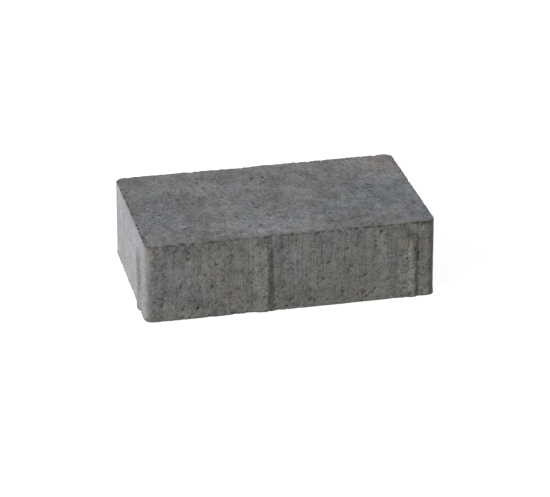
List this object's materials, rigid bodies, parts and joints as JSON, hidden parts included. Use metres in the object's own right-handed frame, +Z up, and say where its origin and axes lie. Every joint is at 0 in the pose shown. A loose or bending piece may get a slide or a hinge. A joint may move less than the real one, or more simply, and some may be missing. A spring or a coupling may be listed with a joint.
{
  "type": "concrete paving stone",
  "caption": "Rectangular concrete paving stone with sharp top edges, rounded upright corners and low spacer ribs on its sides, laid flat in paths and drives.",
  "frame": {"origin": "middle of the bedding face that the stone lies on", "axes": "+X along the length, +Y across the width from the front side to the back side, +Z up through the wearing face"},
  "size_m": [0.2186, 0.1336, 0.06],
  "materials": {
    "concrete": "matte, sandy grey pressed concrete with pits and fine grit"
  },
  "bodies": {
    "root": {"paving_stone": "concrete"}
  },
  "joints": []
}
